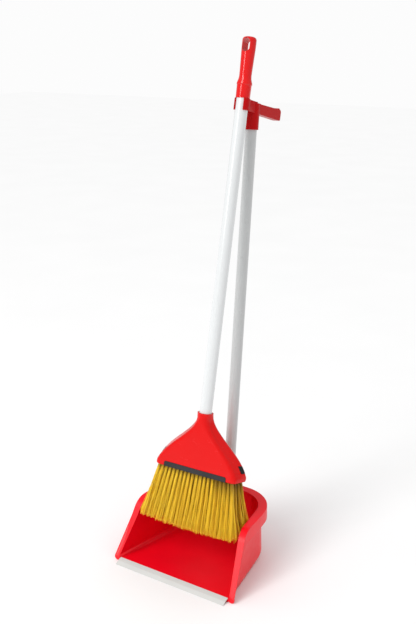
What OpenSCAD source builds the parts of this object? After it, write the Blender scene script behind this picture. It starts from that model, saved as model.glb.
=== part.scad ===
// Upright dust pan on a pole, with a long-handled broom that hangs in a clip on that pole.
// +Z is up, the pan's mouth faces -Y, and the origin lies on the floor under the middle of the pan.
// "Height" along a pole means the distance along its own axis, counted from the floor.

/* [Pan] */
// Outside width of the pan's back part, at the floor
pan_w = 228; // [190:2:280]
// How much wider the mouth is than the back part, at the floor
pan_flare = 45; // [10:1:70]
// How much narrower the walls are at the rim than at the floor
pan_lean_in = 15; // [0:1:24]
// Depth of the pan, from the foot of the walls' front edges to the back wall
pan_depth = 212; // [175:1:260]
// Height of the rim
pan_h = 118; // [98:1:145]
// Thickness of the moulded walls and floor
pan_wall = 2.5; // [1.8:0.1:4]
// Radius of the two back corners, seen from above
corner_r = 72; // [50:1:85]
// Radius between the walls and the floor
bottom_r = 18; // [8:1:24]
// Rise of the walls' front edges from the floor, in degrees
edge_angle = 59; // [45:1:72]
// Radius of the bend between the front edges and the level rim
edge_bend_r = 37; // [15:1:45]
// Width of the rim outside the walls at the mouth
rim_w = 8.5; // [4:0.5:12]
// Width of the rim outside the walls at the back
rim_back_w = 12; // [6:0.5:15]
// How far the rim reaches inside the walls at the back
rim_in_w = 3.5; // [0:0.5:5]
// Radius of the rim's rounded feet, at the mouth
rim_foot_r = 7; // [3:0.5:10]
// Height of the skirt that hangs from the rim
skirt_h = 25; // [8:1:40]
// Length of the ramp behind the lip
ramp_len = 59; // [30:1:80]
// Height of the ramp's front edge
ramp_rise = 3.6; // [2.5:0.1:5]

/* [Lip] */
// Depth of the lip strip, front to back
lip_d = 18; // [14:0.5:24]
// Height of the lip's back edge
lip_h = 8; // [7:0.25:10]
// Thickness of the lip's skin
lip_skin = 1.7; // [1.2:0.1:2.2]
// Gap between each end of the lip and the pan's wall
lip_end_gap = 4; // [2:0.5:8]

/* [Poles] */
// Outside diameter of the broom's pole
broom_pole_d = 25; // [21:0.5:30]
// Outside diameter of the pan's pole
pan_pole_d = 23; // [19.5:0.5:27.5]
// Wall of both tubes
tube_wall = 0.5; // [0.4:0.1:1.2]
// Length of the broom's pole
broom_pole_len = 660; // [550:1:850]
// Lean of the broom's pole, in degrees
broom_lean = 12.2; // [10:0.1:14]
// Lean of the pan's pole, in degrees
pan_pole_lean = 5.8; // [3:0.1:8]
// Depth of the socket that holds the pan's pole
socket_depth = 130; // [90:1:150]
// Wall of the socket
socket_wall = 3.2; // [2.5:0.1:5]

/* [Clip and handle] */
// Height of the clip, along the broom's pole
clip_h = 22; // [16:0.5:32]
// Wall of the clip and of the sleeve
clip_wall = 2.7; // [2:0.1:4]
// Half of the angle that the clip's mouth leaves open, in degrees
clip_mouth = 40; // [30:1:60]
// Distance between the clip's and the sleeve's axes
clip_reach = 41; // [37:0.5:60]
// Length of the sleeve below the clip's lower face
sleeve_drop = 31; // [20:1:60]
// Length of the handle behind the sleeve
handle_len = 90; // [60:1:120]
// Width of the handle
handle_w = 16; // [12:0.5:22]

/* [Hanging grip] */
// Length of the whole grip
grip_len = 115; // [95:1:150]
// Length of the collar that holds the pole
grip_collar = 26; // [20:1:40]
// Wall of the grip
grip_wall = 2.4; // [1.8:0.1:3.2]
// Width of the hanging hole
hang_w = 16; // [10:0.5:18]
// Height of the hanging hole
hang_h = 26; // [18:1:40]

/* [Broom head] */
// Clear space between each side of the head and the pan's side wall
head_side_gap = 14.5; // [12:0.5:40]
// Depth of the head, front to back
head_d = 38; // [34:1:50]
// How much further the head's back face bulges than its front face
head_bulge = 3; // [0:0.5:6]
// How much narrower the head is at its front face
head_bevel = 5; // [2:0.5:8]
// How far the stored head is turned on the pole, in degrees
head_turn = 3; // [0:0.5:4]
// Height of the head, from its lower edge to the top of its neck
head_h = 122; // [100:1:150]
// Wall of the neck around the pole
neck_wall = 3.2; // [2.4:0.1:6]
// Thickness of the head's shell
head_wall = 2.5; // [1.8:0.1:3.5]
// Free length of the bristles
bristle_len = 115; // [80:1:130]
// Height of the bristle tips over the floor, along the broom's pole
tip_lift = 90; // [70:1:120]
// Clear space between the bristle tips and the pan's side wall
bristle_gap = 5; // [3:0.5:20]
// Space between the rows of bristles where they leave the block
row_pitch = 8; // [6:0.1:8.2]
// Distance from each end of the head to the black strip on its lower edge
strip_inset = 28; // [22:0.5:50]
// Height of the black strip
strip_h = 9.2; // [6:0.1:12]
// Height of the latch buttons
latch_h = 13; // [10:0.5:16]
// Width of the latch buttons
latch_w = 10; // [7:0.5:12]

/* [Fits] */
// Gap around a tube inside a moulding that it is pushed into
push_gap = 0.1; // [0.05:0.05:0.3]
// Gap between pieces that move on each other
move_gap = 0.3; // [0.2:0.05:0.5]
// Gap between pieces that only lie beside each other
lay_gap = 0.3; // [0.2:0.05:0.6]

/* [Hidden] */
red = [0.86, 0.12, 0.13];
lip_grey = [0.86, 0.86, 0.85];
pole_grey = [0.70, 0.71, 0.71];
pole_white = [0.93, 0.93, 0.94];
charcoal = [0.16, 0.16, 0.17];
yellow = [0.86, 0.66, 0.16];
steel = [0.62, 0.63, 0.65];
round_fn = 96;
eps = 0.02;

// Pan, seen from above
pan_front_y = -pan_depth / 2 + 2;
pan_back_y = pan_front_y + pan_depth;
mouth_half = (pan_w + pan_flare) / 2;
corner_steps = 14;
bottom_steps = 6;
wall_front_z = 9;            // where the front edges start to rise
over = 6;                    // how far cutting shapes reach past a face

// Lip
lip_front_y = pan_front_y - lip_d + 2;
lip_half = half_at(mouth_half, 0) - pan_wall - lip_end_gap;

// Pan pole: it stands in the middle of the back wall
socket_r = pan_pole_d / 2 + push_gap + socket_wall;
pan_foot_y = pan_back_y - socket_r + 2.8;
socket_floor = 36;           // solid foot under the tube
socket_top = socket_floor + socket_depth;
foot_screw_s = socket_floor + 24;

// Broom, counted along its own axis from the floor
head_low = tip_lift + bristle_len - 2;
neck_top = head_low + head_h;
neck_seat = neck_top - 14;   // step inside the neck under the pole's flange
pole_low = neck_seat + 3;
pole_high = pole_low + broom_pole_len;
collar_low = pole_high - grip_collar - 4;
clip_top = collar_low - move_gap;
clip_low = clip_top - clip_h;
clip_mid = (clip_top + clip_low) / 2;
grip_top = collar_low + grip_len;
// Where the sleeve's axis meets the middle of the clip block, along the pan's pole
sleeve_s = (clip_mid * cos(broom_lean) - clip_reach * sin(broom_lean)) / cos(pan_pole_lean);
broom_foot_y = pan_foot_y + sleeve_s * sin(pan_pole_lean)
  - clip_mid * sin(broom_lean) - clip_reach * cos(broom_lean);
pan_pole_top = sleeve_s + clip_h / 2 - 5;
sleeve_low = sleeve_s - clip_h / 2 - sleeve_drop;
sleeve_r = pan_pole_d / 2 + push_gap + clip_wall;
clip_in_r = broom_pole_d / 2 + move_gap;
clip_out_r = clip_in_r + clip_wall;
sleeve_screw_s = sleeve_low + 14;
tube_in_r = function (d) d / 2 - tube_wall;

// Head
head_half = pan_w / 2 - head_side_gap;
strip_half = head_half - strip_inset;
neck_r = broom_pole_d / 2 + move_gap + neck_wall;
head_shoulder = head_low + 9;
neck_start = neck_top - 3;
head_corner = 7;             // points in each rounded corner of the head's outline
tip_y = broom_foot_y + tip_lift * sin(broom_lean);
tip_z = tip_lift * cos(broom_lean);
tip_half = half_at(side_half(pan_w / 2, mouth_half, tip_y), tip_z) - pan_wall - bristle_gap - 2;
root_half = head_half - 13.5;
block_low = head_low + 3;
block_high = block_low + 12;
latch_mid = head_low + 24;
latch_y = 8;
latch_depth = 20;            // from the end of the head to the button's inner face
thread_r = 9.6;
thread_core = 8.6;
thread_len = 30;
thread_pitch = 4;
bore_r = thread_r + move_gap;

// ---------- helpers ----------

// Half width at height z, for a half width w at the floor
function half_at(w, z) = w - pan_lean_in / 2 * z / pan_h * (w - pan_w / 2 > 1 ? 1.15 : 0.35);

// Half width of the pan's side at depth y, taking the side as straight
function side_half(back, front, y) =
  front + (back - front) * (y - pan_front_y) / (pan_depth - corner_r);

// The pan's outline seen from above, with its sides moved in by e, and by ef at the mouth
function plan(front, back, e, ef) =
  let (
    r = corner_r - e,
    cx = back - corner_r,
    cy = pan_back_y - corner_r,
    px = front - ef,
    d = [cx - px, cy - pan_front_y],
    a = atan2(d.y, d.x) - asin(r / norm(d)),
    arc = [for (k = [0:corner_steps])
      let (t = a - 90 + (180 - a) * k / corner_steps)
      [cx + r * cos(t), cy + r * sin(t)]],
    right = concat([[px, pan_front_y]], arc)
  )
  concat(right, [for (i = [len(right) - 1:-1:0]) [-right[i].x, right[i].y]]);

// One ring of the pan's walls at height z
function pan_ring(z, e, ef) =
  [for (p = plan(half_at(mouth_half, z), half_at(pan_w / 2, z), e, ef)) [p.x, p.y, z]];

// A closed skin through rings of points
module loft(rings) {
  n = len(rings[0]);
  m = len(rings);
  polyhedron(
    points = [for (r = rings) each r],
    faces = concat(
      [[for (i = [0:n - 1]) i]],
      [[for (i = [n - 1:-1:0]) (m - 1) * n + i]],
      [for (k = [0:m - 2], i = [0:n - 1]) let (j = (i + 1) % n)
        [k * n + i, (k + 1) * n + i, (k + 1) * n + j, k * n + j]]
    )
  );
}

// The pan's walls as a solid, moved in by e, with rounded lower edges of radius r, from height low
module pan_solid(e, r, low) {
  loft(concat(
    [for (k = [0:bottom_steps])
      let (t = 90 * k / bottom_steps, in = r * (1 - sin(t)))
      pan_ring(low + r * (1 - cos(t)), e + in, e + in * 0.35)],
    [pan_ring(pan_h + over, e, e)]
  ));
}

// The pan's walls as a solid without rounded edges
module pan_prism(e, ef) {
  loft([pan_ring(-over, e, ef), pan_ring(pan_h + over, e, ef)]);
}

// Side outline of the walls: a front edge that rises at angle a, a bend of radius r and a level top
module side_outline(y0, z0, a, r, top) {
  corner_y = y0 + (top - z0) / tan(a);
  t = r * tan(a / 2);
  polygon(concat(
    [[pan_back_y + 40, -20], [y0, -20], [y0, z0]],
    [for (k = [0:10]) let (g = 90 + a * (1 - k / 10))
      [corner_y + t + r * cos(g), top - r + r * sin(g)]],
    [[pan_back_y + 40, top]]
  ));
}

module edge_outline() {
  side_outline(pan_front_y, wall_front_z, edge_angle, edge_bend_r, pan_h);
}

module skirt_outline() {
  side_outline(pan_front_y + 1, wall_front_z, edge_angle - 5, edge_bend_r * 0.75, pan_h - skirt_h);
}

// Extrudes an outline drawn in Y and Z across the pan
module across(w) {
  rotate([90, 0, 90]) linear_extrude(w, center = true) children();
}

module along_pan_pole() {
  translate([0, pan_foot_y, 0]) rotate([-pan_pole_lean, 0, 0]) children();
}

module along_head() {
  along_broom() rotate([0, 0, head_turn]) children();
}

module along_broom() {
  translate([0, broom_foot_y, 0]) rotate([-broom_lean, 0, 0]) children();
}

// A tube or rod between two heights on the local axis
module rod(low, high, r) {
  translate([0, 0, low]) cylinder(h = high - low, r = r, $fn = round_fn);
}

module tube(low, high, r, bore) {
  difference() {
    rod(low, high, r);
    rod(low - 1, high + 1, bore);
  }
}

// A pin along the local Y axis at height s, between two places on Y
module cross_rod(s, y0, y1, r) {
  translate([0, y0, s]) rotate([-90, 0, 0]) cylinder(h = y1 - y0, r = r, $fn = 48);
}

// A self-tapping screw with its head's seat at y and its tip towards -Y
module screw(s, y, length) {
  difference() {
    union() {
      cross_rod(s, y - length, y, screw_r);
      cross_rod(s, y, y + 2.4, screw_head_r);
    }
    for (a = [0, 90]) translate([0, y + 2, s]) rotate([0, a, 0]) cube([1, 2.4, 4.4], center = true);
  }
}
screw_r = 1.75;
screw_head_r = 3.8;

// A rounded rectangle drawn in X and Y
module round_rect(half_x, half_y, r) {
  square([2 * (half_x - r), 2 * half_y], center = true);
  square([2 * half_x, 2 * (half_y - r)], center = true);
  for (x = [-1, 1], y = [-1, 1])
    translate([x * (half_x - r), y * (half_y - r)]) circle(r, $fn = 48);
}

// ---------- pan ----------

module pan_shell() {
  color(red) difference() {
    union() {
      pan_walls();
      pan_ramp();
      pan_rim();
      pan_skirt();
      pan_socket();
    }
    along_pan_pole() {
      rod(socket_floor, socket_top + over, pan_pole_d / 2 + push_gap);
      cross_rod(foot_screw_s, 0, socket_r + 1, screw_r + 0.1);
    }
    translate([0, 0, -20]) cube([600, 600, 40], center = true);
    for (x = [-1, 1]) rim_foot_cut(x);
  }
}

// Rounds the outer corner of the rim's foot at the mouth
module rim_foot_cut(side) {
  x = mouth_half + rim_w - rim_foot_r;
  mirror([side < 0 ? 1 : 0, 0, 0]) difference() {
    translate([x, pan_front_y - 5, -1]) cube([rim_foot_r + 2, 40, rim_foot_r + 1]);
    translate([x, pan_front_y - 6, rim_foot_r]) rotate([-90, 0, 0])
      cylinder(h = 42, r = rim_foot_r, $fn = 48);
  }
}

module pan_walls() {
  difference() {
    intersection() {
      difference() {
        pan_solid(0, bottom_r, 0);
        pan_solid(pan_wall, bottom_r - pan_wall, pan_wall);
      }
      across(2 * mouth_half + 20) edge_outline();
    }
    // the floor is open where the ramp takes over
    translate([0, pan_front_y + (ramp_len - 1) / 2 - 1, 0])
      cube([2 * (mouth_half - bottom_r), ramp_len, 2 * pan_wall + eps], center = true);
  }
}

// Ramp behind the lip, with the tongue that the lip clips onto
module pan_ramp() {
  ramp_y = pan_front_y + 3;
  tongue_y = pan_front_y - lip_d * 0.4;
  intersection() {
    across(2 * mouth_half) polygon([
      [pan_front_y + ramp_len, 0],
      [pan_front_y + ramp_len, pan_wall],
      [ramp_y, ramp_rise + pan_wall - 0.1],
      [tongue_y, ramp_rise - 0.25],
      [tongue_y, ramp_rise - 2],
      [ramp_y, ramp_rise]
    ]);
    union() {
      pan_solid(0.4, bottom_r - 0.4, 0);
      translate([0, pan_front_y, 0]) cube([2 * (lip_half - 4), 2 * lip_d, 40], center = true);
    }
  }
}

module pan_rim() {
  intersection() {
    difference() {
      pan_prism(-rim_back_w, -rim_w);
      pan_prism(pan_wall + rim_in_w, pan_wall);
    }
    across(2 * mouth_half + 60) difference() {
      edge_outline();
      offset(delta = -pan_wall) edge_outline();
    }
    translate([0, 0, pan_h / 2 + 3]) cube([600, 600, pan_h + 6], center = true);
  }
}

module pan_skirt() {
  intersection() {
    difference() {
      pan_prism(-rim_back_w, -rim_w);
      pan_prism(pan_wall - rim_back_w, pan_wall - rim_w);
    }
    across(2 * mouth_half + 60) difference() {
      edge_outline();
      skirt_outline();
    }
    translate([0, 0, pan_h / 2 + 3]) cube([600, 600, pan_h + 6], center = true);
  }
}

// Socket for the pan's pole, standing on the floor in the middle of the back wall
module pan_socket() {
  along_pan_pole() {
    rod(-over, socket_top, socket_r);
    rod(socket_top - 9, socket_top, socket_r + 1.2);
    for (x = [-1, 1]) translate([x * (socket_r - 1.5), -1.25, 0])
      linear_extrude(socket_top - 12) square([3, 2.5], center = true);
  }
}

module pan_lip() {
  mid_y = lip_front_y + lip_d * 0.45;
  back_y = lip_front_y + lip_d;
  mid_z = lip_h * 0.675;
  color(lip_grey) across(2 * lip_half) polygon([
    [lip_front_y + 0.5, 0],
    [lip_front_y, 0.5],
    [mid_y, mid_z],
    [back_y, lip_h],
    [back_y + 0.4, lip_h - lip_skin + 0.1],
    [mid_y + 0.4, mid_z - lip_skin],
    [lip_front_y + 4.4, 1.2],
    [back_y - 4, 1.2],
    [back_y - 4, 0]
  ]);
}

// ---------- pan's pole ----------

module pan_pole() {
  color(pole_grey) along_pan_pole() difference() {
    tube(socket_floor + 1, pan_pole_top, pan_pole_d / 2, tube_in_r(pan_pole_d));
    cross_rod(foot_screw_s, 0, pan_pole_d, screw_r + 0.1);
    cross_rod(sleeve_screw_s, 0, pan_pole_d, screw_r + 0.1);
  }
}

// A plug with three gripping rings, pushed into the end of a tube
module tube_plug(low, high, d, screw_s) {
  r = tube_in_r(d) - push_gap;
  difference() {
    union() {
      rod(low, high, r - 0.8);
      for (k = [0:2]) rod(low + k * (high - low - 3) / 2, low + k * (high - low - 3) / 2 + 3, r);
    }
    cross_rod(screw_s, 0, d, screw_r + 0.05);
  }
}

module foot_plug() {
  color(charcoal) along_pan_pole() tube_plug(socket_floor + 3, socket_floor + 43, pan_pole_d, foot_screw_s);
}

module top_plug() {
  color(charcoal) along_pan_pole() tube_plug(sleeve_low + 4, sleeve_low + 40, pan_pole_d, sleeve_screw_s);
}

module socket_screw() {
  color(steel) along_pan_pole() screw(foot_screw_s, socket_r + 0.1, socket_r - 0.4);
}

module sleeve_screw() {
  color(steel) along_pan_pole() screw(sleeve_screw_s, sleeve_r + 0.1, sleeve_r - 0.4);
}

// One moulding: the clip for the broom, the sleeve on the pan's pole and the handle behind it
module clip_handle() {
  color(red) difference() {
    union() {
      along_broom() {
        rod(clip_low, clip_top, clip_out_r);
        clip_web();
        handle_bar();
      }
      along_pan_pole() rod(sleeve_low, pan_pole_top + 2.5, sleeve_r);
    }
    along_broom() {
      rod(clip_low - 1, clip_top + 1, clip_in_r);
      clip_mouth_cut();
    }
    along_pan_pole() {
      rod(sleeve_low - 1, pan_pole_top + 0.3, pan_pole_d / 2 + push_gap);
      cross_rod(sleeve_screw_s, 0, sleeve_r + 1, screw_r + 0.1);
    }
  }
}

// Block between the clip and the sleeve, with an open pocket under it
module clip_web() {
  half = sleeve_r - 3.3;
  difference() {
    translate([-half, 0, clip_low]) cube([2 * half, clip_reach, clip_h]);
    translate([-half + clip_wall, clip_out_r - 0.5, clip_low - 1])
      cube([2 * (half - clip_wall), clip_reach - clip_out_r - sleeve_r, clip_h - clip_wall + 1]);
  }
}

module clip_mouth_cut() {
  reach = 2 * clip_out_r;
  translate([0, 0, clip_low - 1]) linear_extrude(clip_h + 2) polygon([
    [0, 0],
    [-reach * sin(clip_mouth), -reach * cos(clip_mouth)],
    [reach * sin(clip_mouth), -reach * cos(clip_mouth)]
  ]);
}

// Handle: a bar that deepens towards its rounded end, with a stop for the hand on top
module handle_bar() {
  root = clip_reach + sleeve_r - 1;
  end = root + handle_len;
  nose = 6;
  rotate([90, 0, 90]) linear_extrude(handle_w, center = true) {
    polygon([
      [root, clip_low + 0.8],
      [end - 2, clip_low],
      [end, clip_low + 2],
      [end, clip_top - nose],
      [end - nose, clip_top],
      [root, clip_top - 1.6]
    ]);
    translate([end - nose, clip_top - nose]) circle(nose, $fn = 48);
    polygon([
      [end - 12.5, clip_top - 1],
      [end - 11, clip_top + 2],
      [end - 7.5, clip_top + 2],
      [end - 5.5, clip_top - 1]
    ]);
  }
  // shoulder where the handle meets the sleeve
  translate([-handle_w / 2 - 1, root - 6, clip_low + 1.5])
    cube([handle_w + 2, 8, clip_h - 2.5]);
}

// ---------- broom's pole ----------

module broom_pole() {
  color(pole_white) along_broom() difference() {
    tube(pole_low, pole_high, broom_pole_d / 2, tube_in_r(broom_pole_d));
    cross_rod(pin_s, -broom_pole_d, broom_pole_d, pin_r + 0.02);
  }
}
pin_s = pole_low + 6;
pin_r = 1.6;

// Hollow grip with a collar over the pole, a step above it and a hanging hole near its domed end
module hanging_grip() {
  seat_r = broom_pole_d / 2 + push_gap;
  collar_r = seat_r + 1.3;
  ring_low = collar_low + grip_collar - 1;
  waist_r = broom_pole_d / 2 - 0.7;
  top_r = broom_pole_d / 2 + 1.1;
  dome = 6;
  hole_mid = grip_top - 3 - hang_h / 2;
  color(red) along_broom() difference() {
    rotate_extrude($fn = round_fn) {
      polygon([
        [0, collar_low],
        [collar_r - 0.4, collar_low],
        [collar_r, collar_low + 0.6],
        [collar_r + 0.3, ring_low],
        [collar_r + 1.3, ring_low + 0.6],
        [collar_r + 1.2, ring_low + 2.4],
        [waist_r + 0.5, ring_low + 12],
        [waist_r, ring_low + 17],
        [waist_r + 0.2, ring_low + 26],
        [top_r, grip_top - 20],
        [top_r, grip_top - dome],
        [0, grip_top - dome]
      ]);
      intersection() {
        translate([top_r - dome, grip_top - dome]) circle(dome, $fn = round_fn);
        translate([0, grip_top - dome - 1]) square([50, dome + 1]);
      }
      translate([0, grip_top - dome - 1]) square([top_r - dome + eps, dome + 1]);
    }
    rod(collar_low - 1, pole_high + 0.3, seat_r);
    rod(pole_high, grip_top - hang_h - 12, waist_r - grip_wall);
    translate([0, 0, hole_mid]) rotate([90, 0, 0]) linear_extrude(4 * top_r, center = true) {
      square([hang_w, hang_h - hang_w], center = true);
      for (s = [-1, 1]) translate([0, s * (hang_h - hang_w) / 2]) circle(hang_w / 2, $fn = 64);
    }
  }
}

// Plug in the pole's lower end, with the threaded spigot that screws into the head
module thread_insert() {
  plug_r = tube_in_r(broom_pole_d) - push_gap;
  turns = floor((thread_len - 4) / thread_pitch);
  color(charcoal) along_broom() difference() {
    union() {
      rod(pole_low, pole_low + 30, plug_r);
      rod(neck_seat + 0.3, pole_low, broom_pole_d / 2);
      rod(neck_seat - thread_len, neck_seat + 1, thread_core);
      for (k = [0:turns - 1]) translate([0, 0, neck_seat - 4 - k * thread_pitch])
        rotate_extrude($fn = round_fn) polygon([
          [thread_core - 1, 1.6], [thread_r, 0.5], [thread_r, -0.5], [thread_core - 1, -1.6]
        ]);
    }
    cross_rod(pin_s, -broom_pole_d, broom_pole_d, pin_r + 0.02);
    rod(neck_seat - thread_len - 1, pole_low + 22, 5);
  }
}

module insert_pin() {
  color(steel) along_broom() cross_rod(pin_s, -broom_pole_d / 2 + 0.3, broom_pole_d / 2 - 0.3, pin_r);
}

// ---------- broom's head ----------

// One ring of the head at height s: half width w at the back and w - bevel at the front,
// front face at -f, back face at b, corners of radius rf at the front and rb at the back
function head_ring(s, w, bevel, f, b, rf, rb) =
  [for (q = [0:3], k = [0:head_corner])
    let (
      t = 90 * q + 90 * k / head_corner,
      r = q < 2 ? rb : rf,
      half = q < 2 ? w : w - bevel,
      x = (q == 0 || q == 3 ? 1 : -1) * (half - r),
      y = q < 2 ? b - r : r - f
    )
    [x + r * cos(t), y + r * sin(t), s]];

// A point on the curve from the neck's foot (t = 0) out to the shoulder (t = 1)
function shoulder_curve(t) =
  let (
    a = [neck_r, neck_start],
    b = [neck_r - 1, neck_start - 37],
    c = [head_half - 13.5, head_shoulder + 44],
    d = [head_half, head_shoulder]
  )
  pow(1 - t, 3) * a + 3 * pow(1 - t, 2) * t * b + 3 * (1 - t) * t * t * c + pow(t, 3) * d;

// The head's section at height s with half width w, moved in by e
function head_section(s, w, e) =
  let (
    t = max(0, min(1, (s - head_low) / (neck_start - head_low))),
    r = neck_r,
    p = pow(t, 1.5)
  )
  head_ring(s, w - e, (head_bevel + 24 * t) * (1 - t),
    head_d / 2 * (1 - t) + r * t - e, (head_d / 2 + head_bulge) * (1 - t) + r * t - e,
    10 + (r - 10.5) * p - e, 9 + (r - 9.5) * p - e);

// The head's outer shape moved in by e
module head_solid(e, low, top = neck_top, steps = 14) {
  loft(concat(
    [head_section(low, head_half - 2.4, e + 0.6), head_section(low + 0.7, head_half - 1.4, e + 0.1),
      head_section(low + 2, head_half - 0.6, e), head_section(low + 4.5, head_half - 0.1, e)],
    [for (k = [0:steps]) let (p = shoulder_curve(1 - k / steps)) head_section(p.y, p.x, e)],
    [head_section(top, neck_r, e)]
  ));
}

module head_cover() {
  color(red) along_head() difference() {
    union() {
      difference() {
        head_solid(0, head_low);
        difference() {
          head_solid(head_wall, head_low - 0.3, neck_top + over);
          rod(neck_start - 9, neck_top + over, 2 * neck_r);
        }
      }
      head_socket();
      head_ribs();
    }
    rod(neck_seat - thread_len - 1.5, neck_seat + 1, bore_r);
    rod(neck_seat, neck_top + 1, broom_pole_d / 2 + move_gap);
    strip_shape(strip_half + lay_gap, head_low - 2, head_low + strip_h + lay_gap, 6);
    for (x = [-1, 1]) translate([x * head_half, latch_y, latch_mid])
      cube([2 * (latch_depth + 4), latch_w + 2 * lay_gap, latch_h + 2 * lay_gap], center = true);
  }
}

// Threaded socket inside the neck
module head_socket() {
  intersection() {
    rod(neck_seat - thread_len - 4, neck_seat + 2, bore_r + 3.2);
    head_solid(0.5, head_low);
  }
}

// Ribs that stiffen the shell and bear on the bristle block
module head_ribs() {
  intersection() {
    head_solid(0.5, head_low);
    translate([0, 0, block_high + lay_gap]) linear_extrude(head_h) {
      for (x = [-60, -34, 34, 60]) translate([x, 0]) square([2, head_d], center = true);
      for (x = [-9, 9]) translate([x, 0]) square([2, head_d], center = true);
    }
  }
}

// The strip's outline, cut from the head's front wall; the same shape gives the strip itself
module strip_shape(half, low, high, depth) {
  r = 4;
  translate([0, -head_d / 2 - 0.6, 0]) rotate([-90, 0, 0]) linear_extrude(depth) {
    translate([-half, -high + r]) square([2 * half, high - low - r]);
    translate([-half + r, -high]) square([2 * (half - r), r + eps]);
    for (x = [-1, 1]) translate([x * (half - r), -high + r]) circle(r, $fn = 48);
  }
}

module scraper_strip() {
  color(charcoal) along_head() strip_shape(strip_half, head_low - 0.8, head_low + strip_h, 2.9);
}

module bristle_block() {
  color(charcoal) along_head() intersection() {
    head_solid(head_wall + 1, head_low);
    translate([0, 0, (block_low + block_high) / 2])
      cube([2 * head_half, 2 * head_d, block_high - block_low], center = true);
  }
}

// Button in the head's side wall that lets the bristle block go when pressed in
module latch(side) {
  color(charcoal) along_head() mirror([side < 0 ? 1 : 0, 0, 0]) intersection() {
    head_solid(-0.6, head_low);
    translate([head_half - latch_depth, latch_y, latch_mid]) rotate([0, 90, 0])
      linear_extrude(latch_depth + 6) round_rect(latch_h / 2, latch_w / 2, 2.5);
  }
}

module latch_right() { latch(1); }

module latch_left() { latch(-1); }

// One row of bristles as a wedge that spreads towards the tips; row runs from -1.5 to 1.5
module bristle_row(row) {
  n = row + 1.5;
  root_y = 1.2 + row * row_pitch;
  spread_y = 3.5 + row * row_pitch * 2.3;
  color(yellow) along_head() hull() {
    translate([0, root_y, block_low - 0.7])
      cube([2 * (root_half + 1.3 * n), row_pitch - 1.8, 1], center = true);
    translate([0, spread_y, tip_lift + 0.5])
      cube([2 * (tip_half - 1.5 - 0.7 * n), row_pitch * 1.9, 1], center = true);
  }
}

module bristles_front() { bristle_row(-1.5); }

module bristles_mid_front() { bristle_row(-0.5); }

module bristles_mid_back() { bristle_row(0.5); }

module bristles_back() { bristle_row(1.5); }

pan_shell();
pan_lip();
pan_pole();
foot_plug();
socket_screw();
clip_handle();
top_plug();
sleeve_screw();
broom_pole();
hanging_grip();
thread_insert();
insert_pin();
head_cover();
bristle_block();
scraper_strip();
latch_right();
latch_left();
bristles_front();
bristles_mid_front();
bristles_mid_back();
bristles_back();
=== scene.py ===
import math
import random

import bmesh
import bpy
from mathutils import Matrix, Vector


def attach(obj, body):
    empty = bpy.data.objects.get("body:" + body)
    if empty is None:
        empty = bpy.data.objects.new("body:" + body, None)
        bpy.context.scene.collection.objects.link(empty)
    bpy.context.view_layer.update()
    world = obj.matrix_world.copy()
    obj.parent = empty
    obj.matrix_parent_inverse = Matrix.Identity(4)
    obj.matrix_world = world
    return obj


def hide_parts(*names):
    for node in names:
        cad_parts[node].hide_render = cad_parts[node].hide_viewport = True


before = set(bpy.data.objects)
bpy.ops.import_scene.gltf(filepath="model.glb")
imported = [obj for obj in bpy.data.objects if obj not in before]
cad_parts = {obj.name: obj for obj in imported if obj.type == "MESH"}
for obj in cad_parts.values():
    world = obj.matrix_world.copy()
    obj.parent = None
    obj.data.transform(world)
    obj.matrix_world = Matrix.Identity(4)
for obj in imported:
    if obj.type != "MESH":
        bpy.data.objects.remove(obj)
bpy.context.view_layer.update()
print("frame loaded")


def addObject(name, mesh):
    obj = bpy.data.objects.new(name, mesh)
    bpy.context.scene.collection.objects.link(obj)
    return obj


def setAutoSmooth(mesh, angle):
    for polygon in mesh.polygons:
        polygon.use_smooth = True
    mesh.set_sharp_from_angle(angle=math.radians(angle))


def newMaterial(name):
    material = bpy.data.materials.new(name)
    material.use_nodes = True
    tree = material.node_tree
    return material, tree, tree.nodes["Principled BSDF"]


def addNode(tree, kind, **settings):
    node = tree.nodes.new(kind)
    for key, value in settings.items():
        setattr(node, key, value)
    return node


def objectCoords(tree, scale=(1, 1, 1), turn=(0, 0, 0)):
    coords = addNode(tree, "ShaderNodeTexCoord")
    mapping = addNode(tree, "ShaderNodeMapping")
    mapping.inputs["Scale"].default_value = scale
    mapping.inputs["Rotation"].default_value = turn
    tree.links.new(coords.outputs["Object"], mapping.inputs["Vector"])
    return mapping.outputs["Vector"]


def addNoise(tree, vector, scale, detail=3.0, rough=0.5):
    noise = addNode(tree, "ShaderNodeTexNoise")
    noise.inputs["Scale"].default_value = scale
    noise.inputs["Detail"].default_value = detail
    noise.inputs["Roughness"].default_value = rough
    tree.links.new(vector, noise.inputs["Vector"])
    return noise.outputs["Fac"]


def mapTo(tree, value, low, high, fromLow=0.3, fromHigh=0.7):
    node = addNode(tree, "ShaderNodeMapRange")
    node.inputs["From Min"].default_value = fromLow
    node.inputs["From Max"].default_value = fromHigh
    node.inputs["To Min"].default_value = low
    node.inputs["To Max"].default_value = high
    tree.links.new(value, node.inputs["Value"])
    return node.outputs["Result"]


def mixColours(tree, factor, first, second):
    mix = addNode(tree, "ShaderNodeMix", data_type="RGBA")
    mix.inputs["A"].default_value = (*first, 1)
    mix.inputs["B"].default_value = (*second, 1)
    tree.links.new(factor, mix.inputs["Factor"])
    return mix.outputs["Result"]


# Fine relief; with an edgeRadius the edges also catch the light as if they were rounded
def addBump(tree, shader, height, strength, distance, edgeRadius=0):
    bump = addNode(tree, "ShaderNodeBump")
    bump.inputs["Strength"].default_value = strength
    bump.inputs["Distance"].default_value = distance
    if edgeRadius:
        edges = addNode(tree, "ShaderNodeBevel", samples=8)
        edges.inputs["Radius"].default_value = edgeRadius
        tree.links.new(edges.outputs["Normal"], bump.inputs["Normal"])
    tree.links.new(height, bump.inputs["Height"])
    tree.links.new(bump.outputs["Normal"], shader.inputs["Normal"])


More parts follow.
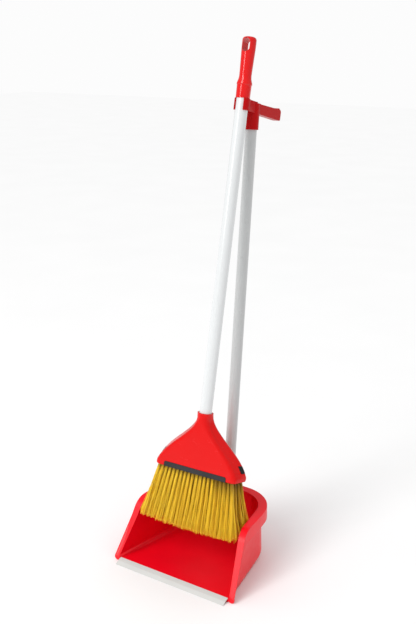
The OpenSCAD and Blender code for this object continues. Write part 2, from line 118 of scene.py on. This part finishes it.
mouldedLooks = {
    "panRed": dict(
        colour=(0.88, 0.001, 0.012), deep=(0.82, 0.001, 0.010), roughness=(0.28, 0.38),
        grain=900, grainStrength=0.05, specular=0.32, coat=0.03, edgeRadius=0.0009),
    "headRed": dict(
        colour=(0.68, 0.001, 0.001), deep=(0.65, 0.001, 0.001), roughness=(0.22, 0.28),
        grain=700, grainStrength=0.02, specular=0.26, coat=0.04, edgeRadius=0.0009),
    "gripRed": dict(
        colour=(0.70, 0.004, 0.004), deep=(0.65, 0.003, 0.003), roughness=(0.12, 0.17),
        grain=1200, grainStrength=0.01, specular=0.40, coat=0.25, edgeRadius=0),
    "clipRed": dict(
        colour=(0.48, 0.002, 0.003), deep=(0.44, 0.002, 0.003), roughness=(0.26, 0.36),
        grain=900, grainStrength=0.03, specular=0.10, coat=0.02, edgeRadius=0),
    "lipGrey": dict(
        colour=(0.60, 0.60, 0.58), deep=(0.55, 0.55, 0.53), roughness=(0.36, 0.48),
        grain=1400, grainStrength=0.08, specular=0.5, coat=0.0, edgeRadius=0),
    "charcoalStrip": dict(
        colour=(0.030, 0.028, 0.031), deep=(0.018, 0.017, 0.019), roughness=(0.42, 0.55),
        grain=1500, grainStrength=0.12, specular=0.35, coat=0.0, edgeRadius=0),
    "blackPlug": dict(
        colour=(0.010, 0.010, 0.011), deep=(0.006, 0.006, 0.007), roughness=(0.28, 0.42),
        grain=1500, grainStrength=0.06, specular=0.4, coat=0.1, edgeRadius=0.0006),
    "tuftBlock": dict(
        colour=(0.020, 0.018, 0.017), deep=(0.010, 0.010, 0.010), roughness=(0.5, 0.65),
        grain=1100, grainStrength=0.15, specular=0.4, coat=0.0, edgeRadius=0),
}


mouldedDetail = dict(driftScale=14, glossScale=60, grainHeight=0.0003, coatRoughness=0.08)


# Moulded plastic: slow drift of colour, uneven gloss and a fine tool grain
def mouldedPlastic(name):
    look = mouldedLooks[name]
    material, tree, shader = newMaterial(name)
    vector = objectCoords(tree)
    drift = addNoise(tree, vector, mouldedDetail["driftScale"], 2)
    tree.links.new(mixColours(tree, mapTo(tree, drift, 0, 1), look["colour"], look["deep"]),
                   shader.inputs["Base Color"])
    gloss = addNoise(tree, vector, mouldedDetail["glossScale"], 4, 0.6)
    tree.links.new(mapTo(tree, gloss, *look["roughness"]), shader.inputs["Roughness"])
    grain = addNoise(tree, vector, look["grain"], 2)
    addBump(tree, shader, grain, look["grainStrength"], mouldedDetail["grainHeight"],
            look["edgeRadius"])
    shader.inputs["Specular IOR Level"].default_value = look["specular"]
    shader.inputs["Coat Weight"].default_value = look["coat"]
    shader.inputs["Coat Roughness"].default_value = mouldedDetail["coatRoughness"]
    return material


tubeLooks = {
    "whiteTube": dict(
        colour=(0.70, 0.715, 0.72), deep=(0.66, 0.675, 0.68), roughness=(0.18, 0.26)),
    "greyTube": dict(
        colour=(0.51, 0.52, 0.52), deep=(0.48, 0.49, 0.49), roughness=(0.26, 0.34)),
}
tubeDetail = dict(
    lineStretch=(1, 1, 0.02), lineScale=700, glossScale=45, peelScale=420, peelStrength=0.02,
    peelHeight=0.0002, coat=0.4, coatRoughness=0.1)


# Coated steel tube: orange peel in the coat and faint lengthwise drawing lines under it
def coatedTube(name):
    look = tubeLooks[name]
    material, tree, shader = newMaterial(name)
    vector = objectCoords(tree)
    along = objectCoords(tree, scale=tubeDetail["lineStretch"])
    lines = addNoise(tree, along, tubeDetail["lineScale"], 2)
    tree.links.new(mixColours(tree, mapTo(tree, lines, 0, 1), look["colour"], look["deep"]),
                   shader.inputs["Base Color"])
    gloss = addNoise(tree, vector, tubeDetail["glossScale"], 3)
    tree.links.new(mapTo(tree, gloss, *look["roughness"]), shader.inputs["Roughness"])
    peel = addNoise(tree, vector, tubeDetail["peelScale"], 1)
    addBump(tree, shader, peel, tubeDetail["peelStrength"], tubeDetail["peelHeight"])
    shader.inputs["Coat Weight"].default_value = tubeDetail["coat"]
    shader.inputs["Coat Roughness"].default_value = tubeDetail["coatRoughness"]
    return material


steelLook = dict(
    light=(0.62, 0.63, 0.66), dark=(0.45, 0.46, 0.48), roughness=(0.28, 0.45), mottleScale=500,
    turningScale=2600, turningStrength=0.1, turningHeight=0.0002)


# Zinc-plated steel: mottled grey with fine turning marks
def platedSteel():
    material, tree, shader = newMaterial("platedSteel")
    vector = objectCoords(tree)
    mottle = addNoise(tree, vector, steelLook["mottleScale"], 4, 0.65)
    tree.links.new(mixColours(tree, mapTo(tree, mottle, 0, 1), steelLook["light"], steelLook["dark"]),
                   shader.inputs["Base Color"])
    tree.links.new(mapTo(tree, mottle, *steelLook["roughness"]), shader.inputs["Roughness"])
    turning = addNoise(tree, vector, steelLook["turningScale"], 1)
    addBump(tree, shader, turning, steelLook["turningStrength"], steelLook["turningHeight"])
    shader.inputs["Metallic"].default_value = 1.0
    return material


# root is painted shade: the dark colour at the foot of the tufts, where they shade each other
bristleLook = dict(
    root=(0.16, 0.07, 0.002), pale=(1.0, 0.70, 0.035), deep=(0.74, 0.40, 0.004),
    roughness=(0.30, 0.42), glossScale=300, specular=0.45)


# Bristles: each strand has its own tone, and its foot between the tufts is darkened with painted shade
def bristleYellow():
    material, tree, shader = newMaterial("bristleYellow")
    tone = addNode(tree, "ShaderNodeAttribute", attribute_name="strandTone")
    split = addNode(tree, "ShaderNodeSeparateColor")
    tree.links.new(tone.outputs["Color"], split.inputs["Color"])
    body = mixColours(tree, split.outputs["Red"], bristleLook["deep"], bristleLook["pale"])
    # Painted shade: the green channel of strandTone fades the dark root colour at the foot into the
    # strand's colour
    footShadeMix = addNode(tree, "ShaderNodeMix", data_type="RGBA")
    footShadeMix.inputs["A"].default_value = (*bristleLook["root"], 1)
    tree.links.new(body, footShadeMix.inputs["B"])
    tree.links.new(split.outputs["Green"], footShadeMix.inputs["Factor"])
    tree.links.new(footShadeMix.outputs["Result"], shader.inputs["Base Color"])
    gloss = addNoise(tree, objectCoords(tree), bristleLook["glossScale"], 2)
    tree.links.new(mapTo(tree, gloss, *bristleLook["roughness"]), shader.inputs["Roughness"])
    shader.inputs["Specular IOR Level"].default_value = bristleLook["specular"]
    return material


finishes = {name: mouldedPlastic(name) for name in mouldedLooks}
finishes.update({name: coatedTube(name) for name in tubeLooks})
finishes["platedSteel"] = platedSteel()
finishes["bristleYellow"] = bristleYellow()
print("finishes made")


# CAD node: piece name, finish, rounding of its edges in metres, body, material slot
mouldings = {
    "pan_shell": dict(
        piece="panTray", finish="panRed", rounding=0, body="pan", slot="red_pan"),
    "pan_lip": dict(
        piece="lipStrip", finish="lipGrey", rounding=0.0004, body="pan", slot="lip_strip"),
    "pan_pole": dict(
        piece="panTube", finish="greyTube", rounding=0, body="pan", slot="pan_pole_coat"),
    "foot_plug": dict(
        piece="footPlug", finish="tuftBlock", rounding=0.0003, body="pan", slot="plug_plastic"),
    "socket_screw": dict(
        piece="socketScrew", finish="platedSteel", rounding=0.0002, body="pan", slot="screw_steel"),
    "clip_handle": dict(
        piece="clipHandle", finish="clipRed", rounding=0.0006, body="pan", slot="red_clip"),
    "top_plug": dict(
        piece="topPlug", finish="tuftBlock", rounding=0.0003, body="pan", slot="plug_plastic"),
    "sleeve_screw": dict(
        piece="sleeveScrew", finish="platedSteel", rounding=0.0002, body="pan", slot="screw_steel"),
    "broom_pole": dict(
        piece="broomTube", finish="whiteTube", rounding=0, body="handle", slot="broom_pole_coat"),
    "hanging_grip": dict(
        piece="hangingGrip", finish="gripRed", rounding=0, body="handle", slot="red_grip"),
    "thread_insert": dict(
        piece="threadInsert", finish="tuftBlock", rounding=0, body="handle", slot="thread_plastic"),
    "insert_pin": dict(
        piece="insertPin", finish="platedSteel", rounding=0.0002, body="handle", slot="screw_steel"),
    "head_cover": dict(
        piece="headShell", finish="headRed", rounding=0, body="head", slot="red_head"),
    "bristle_block": dict(
        piece="tuftBlockPiece", finish="tuftBlock", rounding=0.0004, body="head", slot="block_plastic"),
    "scraper_strip": dict(
        piece="frontStrip", finish="charcoalStrip", rounding=0.0005, body="head", slot="strip_plastic"),
    "latch_right": dict(
        piece="rightButton", finish="blackPlug", rounding=0, body="right_latch", slot="latch_plastic"),
    "latch_left": dict(
        piece="leftButton", finish="blackPlug", rounding=0, body="left_latch", slot="latch_plastic"),
}


# Lengths in metres, angles in degrees
copying = dict(
    merge=0.00001, sliver=0.00002, flatIfBevelled=0.1, flatIfPlain=0.4, smoothBelow=32,
    bevelSegments=2, bevelAbove=40)


# The same shape as the CAD node, with merged points, flat faces dissolved and, where a rounding is
# given, its edges rounded
def finishedCopy(node, spec):
    bm = bmesh.new()
    bm.from_mesh(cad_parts[node].data)
    bmesh.ops.remove_doubles(bm, verts=bm.verts, dist=copying["merge"])
    bmesh.ops.dissolve_degenerate(bm, edges=bm.edges, dist=copying["sliver"])
    flat = copying["flatIfBevelled"] if spec["rounding"] else copying["flatIfPlain"]
    bmesh.ops.dissolve_limit(bm, angle_limit=math.radians(flat), verts=bm.verts, edges=bm.edges)
    mesh = bpy.data.meshes.new(spec["piece"])
    bm.to_mesh(mesh)
    bm.free()
    mesh.materials.clear()
    mesh.materials.append(finishes[spec["finish"]])
    setAutoSmooth(mesh, copying["smoothBelow"])
    piece = addObject(spec["piece"], mesh)
    if spec["rounding"]:
        bevel = piece.modifiers.new("roundedEdges", "BEVEL")
        bevel.width = spec["rounding"]
        bevel.segments = copying["bevelSegments"]
        bevel.limit_method = "ANGLE"
        bevel.angle_limit = math.radians(copying["bevelAbove"])
        bevel.use_clamp_overlap = True
        bevel.harden_normals = True
    else:
        weighted = piece.modifiers.new("flatFacesStayFlat", "WEIGHTED_NORMAL")
        weighted.keep_sharp = True
    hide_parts(node)
    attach(piece, spec["body"])
    return piece


pieces = {node: finishedCopy(node, spec) for node, spec in mouldings.items()}
print("moulded and turned pieces:", len(pieces))


broomAxis = dict(footY=-0.049456, lean=math.radians(12.2), headTurn=math.radians(3))
# Rows from front to back: place behind the axis, half width and shift to the right, at the block
# and at the tips; shade is how far down the painted shade at the foot of the tufts reaches, and
# tone is painted light and shade of the row, lighter in front and darker in the middle rows
bristles = dict(
    rows={
        "bristles_front": dict(
            root=(-0.0108, 0.0838, 0), tip=(-0.0240, 0.1005, 0), shade=0.007, tone=0.14),
        "bristles_mid_front": dict(
            root=(-0.0028, 0.0850, 0), tip=(-0.0056, 0.1015, 0.0005), shade=0.040, tone=-0.05),
        "bristles_mid_back": dict(
            root=(0.0052, 0.0868, 0.0005), tip=(0.0127, 0.1035, 0.002), shade=0.045, tone=-0.08),
        "bristles_back": dict(
            root=(0.0132, 0.0885, 0.001), tip=(0.0320, 0.1050, 0.004), shade=0.030, tone=0)},
    tufts=20, strandsPerTuft=36, strandRadius=0.00036, rootAt=0.2055, tipAt=0.0905,
    tuftRadius=0.0023, tipSpread=0.0054, subRow=0.0017, pointsPerStrand=8, strays=16, seed=7)
strandShape = dict(
    bend=0.0011, ripple=0.0004, rippleTurn=9, spreadPower=1.9, acrossPower=0.92, behindPower=1.05,
    flatness=0.75, tipWidth=0.6)
# How far tufts and tips stray: a range or a spread in metres, tones from 0 to 1; the rear
# sub-row is darkened as painted shade, and its painted shade at the foot reaches at least innerShade
scatter = dict(
    paintedShadeBehind=-0.2, tuftTone=0.12, strandTone=0.22, tuftLean=0.0013, tuftLift=(-0.0008, 0.0012),
    tipAcross=0.0014, tipBehind=0.0012, tipShort=0.0028, tipApart=0.003, edgeDroop=0.0030,
    intoBlock=0.002, innerShade=0.035)


# A point of the head, across, behind and along the broom's axis, in the row frame
def headPoint(across, behind, along):
    turned = Matrix.Rotation(broomAxis["headTurn"], 3, "Z") @ Vector((across, behind, along))
    return Matrix.Rotation(-broomAxis["lean"], 3, "X") @ turned + Vector((0, broomAxis["footY"], 0))


# Points of one strand: it keeps to its tuft at first and leaves it further down, bent and wavy
def strandPoints(root, tip, fromTuft, chance):
    shape = strandShape
    count = bristles["pointsPerStrand"]
    bend = [chance.uniform(-shape["bend"], shape["bend"]) for _ in range(2)]
    wave = chance.uniform(0, 6.28)
    points = []
    for k in range(count):
        t = k / (count - 1)
        belly = 4 * t * (1 - t)
        ripple = shape["ripple"] * math.sin(shape["rippleTurn"] * t + wave) * min(1, 2 * t)
        opening = bristles["tipSpread"] - bristles["tuftRadius"]
        spread = bristles["tuftRadius"] + opening * t ** shape["spreadPower"]
        points.append((
            root[0] + (tip[0] - root[0]) * t ** shape["acrossPower"] + fromTuft[0] * spread
            + bend[0] * belly * t + ripple,
            root[1] + (tip[1] - root[1]) * t ** shape["behindPower"]
            + fromTuft[1] * spread * shape["flatness"] + bend[1] * belly * t,
            root[2] + (tip[2] - root[2]) * t))
    return points


def addStrand(curve, root, tip, fromTuft, chance):
    spline = curve.splines.new("POLY")
    points = strandPoints(root, tip, fromTuft, chance)
    spline.points.add(len(points) - 1)
    for point, (across, behind, along) in zip(spline.points, points):
        point.co = (*headPoint(across, behind, along), 1)
    spline.points[-1].radius = strandShape["tipWidth"]


# One CAD row: two staggered sub-rows of tufts whose strands fan out and mix towards the tips
def bristleRow(node, row, chance):
    spec = bristles
    curve = bpy.data.curves.new(node + "Strands", "CURVE")
    curve.dimensions = "3D"
    curve.bevel_depth = spec["strandRadius"]
    curve.bevel_resolution = 0
    curve.use_fill_caps = True
    tones, shades = [], []
    rootBehind, rootHalf, rootShift = row["root"]
    tipBehind, tipHalf, tipShift = row["tip"]
    rootAlong = spec["rootAt"] + scatter["intoBlock"]
    for half in (-1, 1):
        inFront = half < 0
        for tuft in range(spec["tufts"] - (0 if inFront else 1)):
            place = (tuft + (0 if inFront else 0.5)) / (spec["tufts"] - 1) * 2 - 1
            # Painted light and shade: the row's tone and a darker rear sub-row; the random tuft tone is
            # the bristles' own
            tuftTone = (row["tone"] + (0 if inFront else scatter["paintedShadeBehind"])
                        + chance.uniform(-scatter["tuftTone"], scatter["tuftTone"]))
            lean = chance.uniform(-scatter["tuftLean"], scatter["tuftLean"])
            lift = chance.uniform(*scatter["tuftLift"])
            for _ in range(spec["strandsPerTuft"]):
                angle = chance.uniform(0, 2 * math.pi)
                reach = math.sqrt(chance.random())
                root = (place * rootHalf + rootShift, rootBehind + half * spec["subRow"], rootAlong)
                tip = (place * tipHalf + tipShift + lean + chance.gauss(0, scatter["tipAcross"]),
                       tipBehind + half * scatter["tipApart"]
                       + chance.gauss(0, scatter["tipBehind"]),
                       spec["tipAt"] - scatter["edgeDroop"] * (1 - place * place) + lift
                       + abs(chance.gauss(0, scatter["tipShort"])))
                fromTuft = (reach * math.cos(angle), reach * math.sin(angle))
                addStrand(curve, root, tip, fromTuft, chance)
                # strand tone: painted light and shade of its row and sub-row plus random variation
                tones.append(min(1, max(0, 0.5 + tuftTone + chance.gauss(0, scatter["strandTone"]))))
                shades.append(row["shade"] if inFront else max(scatter["innerShade"], row["shade"]))
    for _ in range(spec["strays"]):  # strands that stand off the two ends of the row
        side = chance.choice((-1, 1))
        root = (side * (rootHalf - chance.uniform(0, 0.02)), rootBehind, rootAlong)
        tip = (side * (tipHalf + chance.uniform(0.004, 0.0085)),
               tipBehind + chance.uniform(-0.004, 0.004),
               spec["tipAt"] + chance.uniform(-0.001, 0.012))
        addStrand(curve, root, tip, (side * 0.8, 0), chance)
        tones.append(chance.uniform(0.6, 1))
        shades.append(row["shade"])
    temporary = addObject(node + "Temporary", curve)
    mesh = bpy.data.meshes.new_from_object(temporary)
    bpy.data.objects.remove(temporary)
    perStrand = len(mesh.vertices) // len(tones)
    attribute = mesh.color_attributes.new("strandTone", "FLOAT_COLOR", "POINT")
    rootHeight = headPoint(0, 0, spec["rootAt"]).z
    for index, vertex in enumerate(mesh.vertices):
        strand = min(index // perStrand, len(tones) - 1)
        # Green channel: painted shade at the foot of the tufts, dark at the block and fading out over
        # the strand's shade length
        depth = min(1, max(0, (rootHeight + scatter["intoBlock"] - vertex.co.z) / shades[strand]))
        attribute.data[index].color = (tones[strand], depth, 0, 1)
    mesh.materials.clear()
    mesh.materials.append(finishes["bristleYellow"])
    for polygon in mesh.polygons:
        polygon.use_smooth = True
    piece = addObject(node + "Tufts", mesh)
    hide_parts(node)
    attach(piece, "head")
    print(node, "strands", len(tones), "faces", len(mesh.polygons))
    return piece


chance = random.Random(bristles["seed"])
for node, row in bristles["rows"].items():
    bristleRow(node, row, chance)
print("bristles made")


studio = dict(
    floorColour=(0.90, 0.90, 0.90), floorDrift=0.985, floorSize=12,
    room=0.82, mirrored=0.42, backdrop=0.975,
    sunFrom=(-0.30, -0.97, 0.95), sunStrength=1.15, sunAngle=32,
    boxPlace=(-0.9, -2.6, 1.9), boxSize=(0.7, 1.6), boxPower=20)


def studioFloor():
    bm = bmesh.new()
    bmesh.ops.create_grid(bm, x_segments=1, y_segments=1, size=studio["floorSize"])
    mesh = bpy.data.meshes.new("studioFloor")
    bm.to_mesh(mesh)
    bm.free()
    material, tree, shader = newMaterial("studioPaper")
    vector = objectCoords(tree)
    tone = mixColours(tree, mapTo(tree, addNoise(tree, vector, 3, 2), 0, 1), studio["floorColour"],
                      tuple(studio["floorDrift"] * c for c in studio["floorColour"]))
    tree.links.new(tone, shader.inputs["Base Color"])
    shader.inputs["Roughness"].default_value = 0.9
    shader.inputs["Specular IOR Level"].default_value = 0.0
    mesh.materials.append(material)
    floor = addObject("studioFloor", mesh)


def pointAt(obj, place, target=(0, 0, 0.4)):
    obj.location = place
    obj.rotation_euler = (Vector(target) - Vector(place)).to_track_quat("-Z", "Y").to_euler()


# A broad sun from the front left, a tall soft box for the streaks on the tubes, and a white room
def studioLight():
    world = bpy.data.worlds.new("studioWorld")
    bpy.context.scene.world = world
    world.use_nodes = True
    tree = world.node_tree
    seen = addNode(tree, "ShaderNodeLightPath")

    def wall(strength):
        node = addNode(tree, "ShaderNodeBackground")
        node.inputs["Color"].default_value = (1, 1, 1, 1)
        node.inputs["Strength"].default_value = strength
        return node.outputs["Background"]

    def either(ray, first, second):
        node = addNode(tree, "ShaderNodeMixShader")
        tree.links.new(seen.outputs[ray], node.inputs["Fac"])
        tree.links.new(first, node.inputs[1])
        tree.links.new(second, node.inputs[2])
        return node.outputs["Shader"]

    lit = either("Is Glossy Ray", wall(studio["room"]), wall(studio["mirrored"]))
    tree.links.new(either("Is Camera Ray", lit, wall(studio["backdrop"])),
                   tree.nodes["World Output"].inputs["Surface"])
    sun = bpy.data.lights.new("broadSun", "SUN")
    sun.energy = studio["sunStrength"]
    sun.angle = math.radians(studio["sunAngle"])
    pointAt(addObject("broadSun", sun), studio["sunFrom"], (0, 0, 0))
    box = bpy.data.lights.new("softBox", "AREA")
    box.shape = "RECTANGLE"
    box.size, box.size_y = studio["boxSize"]
    box.energy = studio["boxPower"]
    pointAt(addObject("softBox", box), studio["boxPlace"])


view = dict(place=(0.90225, -1.36072, 1.03519), turn=0.5762, dip=0.2984, lens=51.58)


def studioCamera():
    camera = bpy.data.cameras.new("studioCamera")
    camera.lens = view["lens"]
    camera.sensor_width = 36
    camera.sensor_fit = "AUTO"
    camera.clip_end = 60
    obj = addObject("studioCamera", camera)
    a, d = view["turn"], view["dip"]
    right = Vector((math.cos(a), math.sin(a), 0))
    forward = Vector((-math.sin(a) * math.cos(d), math.cos(a) * math.cos(d), -math.sin(d)))
    matrix = Matrix((right, right.cross(forward), -forward)).transposed().to_4x4()
    matrix.translation = view["place"]
    obj.matrix_world = matrix
    bpy.context.scene.camera = obj


studioFloor()
studioLight()
studioCamera()
bpy.context.scene.view_settings.view_transform = "Standard"
print("studio ready")
